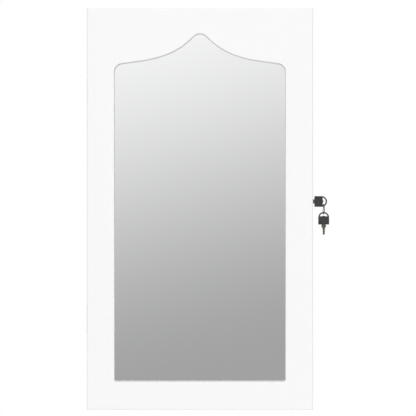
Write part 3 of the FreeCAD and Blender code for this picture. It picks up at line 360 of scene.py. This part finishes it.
def plated_finish(name, colour, dark, roughness, scale=900, stretch=(1, 1, 0.06)):
    """Plated metal: fine lines along the axis of the smallest stretch, and gloss that varies in patches."""
    made = finish(name, colour, roughness, Metallic=1.0)
    tree = made.node_tree
    lines = noise_of(tree, scale, stretch, detail=3.0)
    tint(made, lines, colour, dark)
    gloss(made, noise_of(tree, 160), roughness * 0.75, roughness * 1.35)
    relief(made, lines, strength=0.25, distance=0.00006)
    return made


def closed_mesh(name, grids, made):
    """One mesh of closed surfaces: each grid has rows of points round an axis, and a pole beyond each end."""
    points, faces, start = [], [], 0
    for grid in grids:
        rows, sides = grid.shape[:2]
        row, side = np.meshgrid(np.arange(rows - 1), np.arange(sides), indexing="ij")
        after = (side + 1) % sides
        walls = np.stack([row * sides + side, row * sides + after, (row + 1) * sides + after,
                          (row + 1) * sides + side], -1).reshape(-1, 4)
        around = np.arange(sides)
        onward = (around + 1) % sides
        first, last = rows * sides, rows * sides + 1
        opening = np.stack([np.full(sides, first), onward, around], -1)
        closing = np.stack([np.full(sides, last), last - 1 - sides + around, last - 1 - sides + onward], -1)
        points += [grid.reshape(-1, 3), grid[0].mean(0)[None], grid[-1].mean(0)[None]]
        faces += (walls + start).tolist() + (opening + start).tolist() + (closing + start).tolist()
        start += last + 1
    mesh = bpy.data.meshes.new(name)
    mesh.from_pydata(np.vstack(points).tolist(), [], faces)
    mesh.shade_smooth()
    mesh.materials.append(made)
    piece = bpy.data.objects.new(name, mesh)
    bpy.context.scene.collection.objects.link(piece)
    return piece


def screw(seat, way, head, shank, length, turn, cap=0.0):
    """Rows of points from the middle of a screw's head, out over its rim and down to its tip.

    A countersunk head is flat and narrows to the shank at 45 degrees; a pan head is a superellipse that
    rises by the cap above its seat. The recess is a cross: it sinks where the distance from the nearer
    arm's middle line is under the arm's width, less towards the arms' ends. The thread's radius is a
    triangle wave of depth / pitch - angle / full turn, and it narrows over the tip.
    """
    rise = np.linspace(0.03, 1, HEAD_ROWS) * np.pi / 2
    face_out = head * (np.sin(rise) ** PAN_ROUNDING if cap else np.linspace(0.04, 1, HEAD_ROWS))
    face_down = -cap * np.cos(rise) ** PAN_ROUNDING
    cone = 0.0 if cap else head - shank
    neck_out, neck_down = np.linspace(head, shank, NECK_ROWS)[1:], np.linspace(0, cone, NECK_ROWS)[1:]
    down = np.arange(cone, length, THREAD_PITCH / THREAD_ROWS)[1:]
    taper = np.clip((length - down) / shank + SCREW_TIP, SCREW_TIP, 1)
    out = np.concatenate([face_out, neck_out, shank * taper])[:, None]
    depth = np.concatenate([face_down, neck_down, down])[:, None]
    angle = np.linspace(0, 2 * np.pi, SCREW_SIDES, endpoint=False)[None]
    phase = (depth / THREAD_PITCH - angle / (2 * np.pi)) % 1
    threaded = depth > cone + THREAD_PITCH / 2
    radius = out * np.where(threaded, THREAD_CORE + (1 - THREAD_CORE) * (1 - abs(2 * phase - 1)), 1)
    off_arm = radius * np.minimum(abs(np.sin(angle)), abs(np.cos(angle)))
    in_arm = np.clip((RECESS_ARM * head - off_arm) / (RECESS_WALL * head), 0, 1)
    in_reach = np.clip(1 - (radius / (RECESS_REACH * head)) ** RECESS_SLOPE, 0, 1)
    on_face = np.arange(len(out))[:, None] < len(face_out)
    sunk = depth + np.where(on_face, RECESS_DEPTH * head * in_arm * in_reach, 0)
    way, upright = np.array(way, float), np.array([0.0, 0.0, 1.0])
    level = np.cross(way, upright)
    spoke = np.cos(angle + turn)[..., None] * upright + np.sin(angle + turn)[..., None] * level
    return np.array(seat) + sunk[..., None] * way + radius[..., None] * spoke


def screw_set(name, node, body, seats, way, made, **sizes):
    """The screws of one node, each turned on by a different amount."""
    grids = [screw(seat, way, turn=SCREW_TURN * index, **sizes) for index, seat in enumerate(seats)]
    piece = closed_mesh(name, grids, made)
    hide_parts(node)
    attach(piece, body)


nickel = plated_finish("nickel_plate", NICKEL, NICKEL_DRAWN, 0.26)
wear(["hinge_leaf_body_upper", "hinge_leaf_body_lower", "hinge_leaf_door_upper", "hinge_leaf_door_lower",
      "hinge_pins"], nickel)
for body, part, face in (("cabinet", "body", 0), ("door", "door", 1)):
    low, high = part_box(f"hinge_screws_{part}")
    across, surface = (low.x + high.x) / 2, (low, high)[face].y
    leaves = [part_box(f"hinge_leaf_{part}_{end}") for end in ("upper", "lower")]
    heights = [leaf[0].z + SCREW_INSET for leaf in leaves] + [leaf[1].z - SCREW_INSET for leaf in leaves]
    screw_set(f"hinge_screws_on_{part}", f"hinge_screws_{part}", body,
              [(across, surface, height) for height in heights], (0, 1 - 2 * face, 0), nickel,
              head=(high.x - low.x) / 2, shank=SCREW_SHANK, length=high.y - low.y)


# ---- Catch: nickel-plated magnets let into the box's front edge on the right hold steel discs let into the
# door's edge. Clear rubber bumpers, stuck beside them, take the door's last push.
MAGNET_PLATE, MAGNET_DULL = (0.78, 0.78, 0.79, 1), (0.7, 0.7, 0.71, 1)

magnet = plated_finish("magnet_plate", MAGNET_PLATE, MAGNET_DULL, 0.16, stretch=(1, 1, 1))
wear(["body_magnets", "door_discs"], magnet)
rubber = finish("clear_rubber", (0.82, 0.82, 0.8, 1), 0.45, Transmission_Weight=0.5, IOR=1.45)
relief(rubber, noise_of(rubber.node_tree, 1200), strength=0.2, distance=0.0001)
wear(["door_buffers"], rubber)


# ---- Lock: a die-cast cam lock through the right side board, its flange and plug bright chrome. A
# zinc-plated nut on its threaded barrel clamps the board, a pan-head screw holds the hooked cam to the plug,
# and the cam catches the pin of a strike plate that two countersunk screws hold to the door.
CHROME = (0.8, 0.8, 0.81, 1)
ZINC, ZINC_DULL = (0.66, 0.67, 0.69, 1), (0.52, 0.53, 0.55, 1)
BARREL_RADIUS, BARREL_PITCH, BARREL_RIDGE = 0.008, 0.001, 0.00028
BARREL_ROWS, BARREL_LAND, BARREL_FADE = 240, 0.42, 1.2
CAM_SCREW_SHANK, CAM_SCREW_CAP = 0.0015, 0.0024
WIRE_SIDES, WIRE_SQUARENESS, WIRE_END = 16, 0.8, 0.02


def bowed(wave, power):
    """A wave raised to a power with its sign kept; a sine and a cosine of these draw a superellipse."""
    return np.sign(wave) * abs(wave) ** power


def coil(middle, aside, axis, angles, radius, shift, half_out, half_along, fade):
    """Rows of points along a wire wound about an axis.

    At each angle the wire's middle lies at the radius from the axis and at its shift along it. Its section
    is a superellipse, half_out by half_along, which closes at both ends over the fade angle.
    """
    aside, axis = np.array(aside, float), np.array(axis, float)
    onward = np.cross(axis, aside)
    t = angles[:, None]
    s = np.linspace(0, 2 * np.pi, WIRE_SIDES, endpoint=False)[None]
    end = np.minimum(t - angles[0], angles[-1] - t)
    size = np.sqrt(1 - (1 - np.clip(end / fade, WIRE_END, 1)) ** 2)
    out = radius + size * half_out * bowed(np.cos(s), WIRE_SQUARENESS)
    along = shift[:, None] - size * half_along * bowed(np.sin(s), WIRE_SQUARENESS)
    spoke = np.cos(t)[..., None] * aside + np.sin(t)[..., None] * onward
    return np.array(middle) + out[..., None] * spoke + along[..., None] * axis


chrome = finish("bright_chrome", CHROME, 0.08, Metallic=1.0)
gloss(chrome, noise_of(chrome.node_tree, 300), 0.05, 0.14)
wear(["lock_barrel", "lock_plug"], chrome)
zinc = plated_finish("zinc_plate", ZINC, ZINC_DULL, 0.34, scale=500, stretch=(1, 1, 1))
wear(["lock_nut", "lock_cam", "lock_strike"], zinc)

low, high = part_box("lock_barrel")
start, stop = low.x + BARREL_PITCH / 2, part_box("lock_nut")[0].x - BARREL_PITCH / 4
thread_turns = np.linspace(0, 2 * np.pi * (stop - start) / BARREL_PITCH, BARREL_ROWS)
ridge = coil((0, (low.y + high.y) / 2, (low.z + high.z) / 2), (0, 1, 0), (1, 0, 0), thread_turns,
             BARREL_RADIUS, np.linspace(start, stop, BARREL_ROWS),
             half_out=BARREL_RIDGE, half_along=BARREL_PITCH * BARREL_LAND, fade=BARREL_FADE)
thread = closed_mesh("barrel_thread", [ridge], chrome)
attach(thread, "cabinet")

low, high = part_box("strike_screws")
head = (high.y - low.y) / 2
screw_set("strike_plate_screws", "strike_screws", "door",
          [(low.x, low.y + head, height) for height in (low.z + head, high.z - head)], (1, 0, 0), zinc,
          head=head, shank=SCREW_SHANK, length=high.x - low.x)

low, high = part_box("cam_screw")
screw_set("cam_pan_screw", "cam_screw", "lock_core",
          [(low.x + CAM_SCREW_CAP, (low.y + high.y) / 2, (low.z + high.z) / 2)], (1, 0, 0), zinc,
          head=(high.y - low.y) / 2, shank=CAM_SCREW_SHANK, length=high.x - low.x - CAM_SCREW_CAP,
          cap=CAM_SCREW_CAP)


# ---- Keys: stamped nickel-silver blades, each with a black grip moulded round its tang. The ring that joins
# them is a split ring: two turns of flattened spring wire side by side, crossing over at the wall side.
GRIP_BLACK = (0.035, 0.035, 0.035, 1)
GRIP_SHADE, GRIP_WORN = (0.031, 0.031, 0.031, 1), (0.042, 0.042, 0.041, 1)
BLADE, BLADE_DARK = (0.3, 0.3, 0.25, 1), (0.05, 0.05, 0.045, 1)
SPRING_WIRE, SPRING_WIRE_DARK = (0.25, 0.245, 0.235, 1), (0.15, 0.148, 0.14, 1)
RING_YAW = math.radians(1.5)
RING_ROWS, RING_CROSSING, RING_FADE = 320, 0.5, 0.06
RING_WIRE_OUT, RING_WIRE_ALONG = 0.00062, 0.00045

grip = finish("moulded_black", GRIP_BLACK, 0.42)
tint(grip, noise_of(grip.node_tree, 900), GRIP_SHADE, GRIP_WORN)
relief(grip, noise_of(grip.node_tree, 2600, detail=3.0), strength=0.35, distance=0.00012)
wear(["key_bow", "spare_key_bow"], grip)
wear(["key_blade", "spare_key_blade"],
     plated_finish("nickel_silver", BLADE, BLADE_DARK, 0.34, scale=420, stretch=(1, 1, 1)))

low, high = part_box("key_ring")
ring_aside = (-math.sin(RING_YAW), math.cos(RING_YAW), 0)
ring_axis = (math.cos(RING_YAW), math.sin(RING_YAW), 0)
ring_turns = np.linspace(RING_CROSSING, 4 * np.pi - RING_CROSSING, RING_ROWS)
crossing = np.clip((ring_turns - 2 * np.pi) / RING_CROSSING, -1, 1)
wire = coil((low + high) / 2, ring_aside, ring_axis, ring_turns, (high.z - low.z) / 2 - RING_WIRE_OUT,
            RING_WIRE_ALONG * np.sin(crossing * np.pi / 2),
            half_out=RING_WIRE_OUT, half_along=RING_WIRE_ALONG, fade=RING_FADE)
split_ring = closed_mesh("split_ring", [wire], plated_finish(
    "ring_wire", SPRING_WIRE, SPRING_WIRE_DARK, 0.4, scale=1800, stretch=(1, 1, 1)))
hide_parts("key_ring")
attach(split_ring, "ring")


# ---- Pegs, rod and posts: turned steel, satin nickel plated. The pegs are pressed into their strips, the
# bracelet rod hangs between two brackets, and the posts carry the earring bars off the door's lining.
SATIN_NICKEL, SATIN_NICKEL_DRAWN = (0.74, 0.73, 0.71, 1), (0.66, 0.65, 0.63, 1)

wear(["necklace_pegs", "door_pegs", "bracelet_rod", "rod_brackets", "bar_posts"],
     plated_finish("satin_nickel", SATIN_NICKEL, SATIN_NICKEL_DRAWN, 0.24, scale=700, stretch=(0.06, 1, 1)))


# ---- Earring bars: three strips of punched steel, sprayed black, each on two posts. Their pairs of small
# holes take the earrings' wires.
BAR_BLACK = (0.02, 0.02, 0.022, 1)

black_coat = finish("black_coat", BAR_BLACK, 0.38)
relief(black_coat, noise_of(black_coat.node_tree, 500), strength=0.15, distance=0.0001)
wear(["earring_bar_1", "earring_bar_2", "earring_bar_3"], black_coat)


# ---- Guards: clear acrylic sheet with polished edges, glued in front of the two shelves and the box's floor,
# and across the foot of the door, so that nothing slides out when the door swings.
CLEAR_SHEET = (0.96, 0.985, 0.99, 1)

acrylic = finish("clear_acrylic", CLEAR_SHEET, 0.03, Transmission_Weight=1.0, IOR=1.49)
gloss(acrylic, noise_of(acrylic.node_tree, 60), 0.015, 0.05)
wear(["guard_upper", "guard_lower", "guard_floor", "door_guard"], acrylic)


# ---- Ring rolls: foam rods wrapped in velvet, their ends gathered, side by side in the tray.
# The cloth is drawn a little flat where each roll lies against its neighbours and the tray.
ROLL_RINGS, ROLL_SIDES, ROLL_CROWDING = 240, 48, 0.8
ROLL_ROUNDING, ROLL_SQUARENESS = 2.6, 0.86
ROLL_PUCKERS, PUCKER_DEPTH, PUCKER_LIMIT = 14, 0.05, 0.02
ROLL_GIRTH, ROLL_LUMPS, ROLL_RIPPLES = 0.985, 0.012, 0.006
ROLL_PHASE = 1.7


def padded_roll(low, high, phase):
    """A roll between two corners: x runs end to end, the section is a superellipse.

    Its radius is the full one times (1 - e^p)^(1/p) near the ends, where e goes from 0 to 1 over the last
    stretch, as long as the roll is thick, less shallow puckers there. Two sine waves along the roll swell
    and sink it by a few hundredths.
    """
    along = bowed(np.linspace(-1, 1, ROLL_RINGS), ROLL_CROWDING)
    turn = np.linspace(0, 2 * np.pi, ROLL_SIDES, endpoint=False)
    s, t = np.meshgrid(along, turn, indexing="ij")
    half = (high - low) / 2
    middle = (high + low) / 2
    end_stretch = half[2] / half[0]
    e = np.clip((np.abs(s) - (1 - end_stretch)) / end_stretch, 0, 1)
    closing = (1 - e ** ROLL_ROUNDING) ** (1 / ROLL_ROUNDING)
    pucker = 1 - PUCKER_DEPTH * e * (0.5 + 0.5 * np.cos(ROLL_PUCKERS * t + phase)) * (closing > PUCKER_LIMIT)
    lumps = ROLL_LUMPS * np.sin(9 * s + phase) * np.sin(3 * t)
    swell = ROLL_GIRTH + lumps + ROLL_RIPPLES * np.sin(23 * s + 2 * phase)
    radius = closing * pucker * np.clip(swell, 0, 1)
    y = bowed(np.cos(t), ROLL_SQUARENESS)
    z = bowed(np.sin(t), ROLL_SQUARENESS)
    return np.stack([middle[0] + half[0] * s, middle[1] + half[1] * radius * y,
                     middle[2] + half[2] * radius * z], -1)


roll_cloth = velvet_finish("roll_velvet", tufts=1300)
for index in range(1, 6):
    node = f"ring_roll_{index}"
    corners = [np.array(corner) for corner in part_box(node)]
    roll = closed_mesh(f"ring_cushion_{index}", [padded_roll(*corners, ROLL_PHASE * index)], roll_cloth)
    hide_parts(node)
    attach(roll, "cabinet")
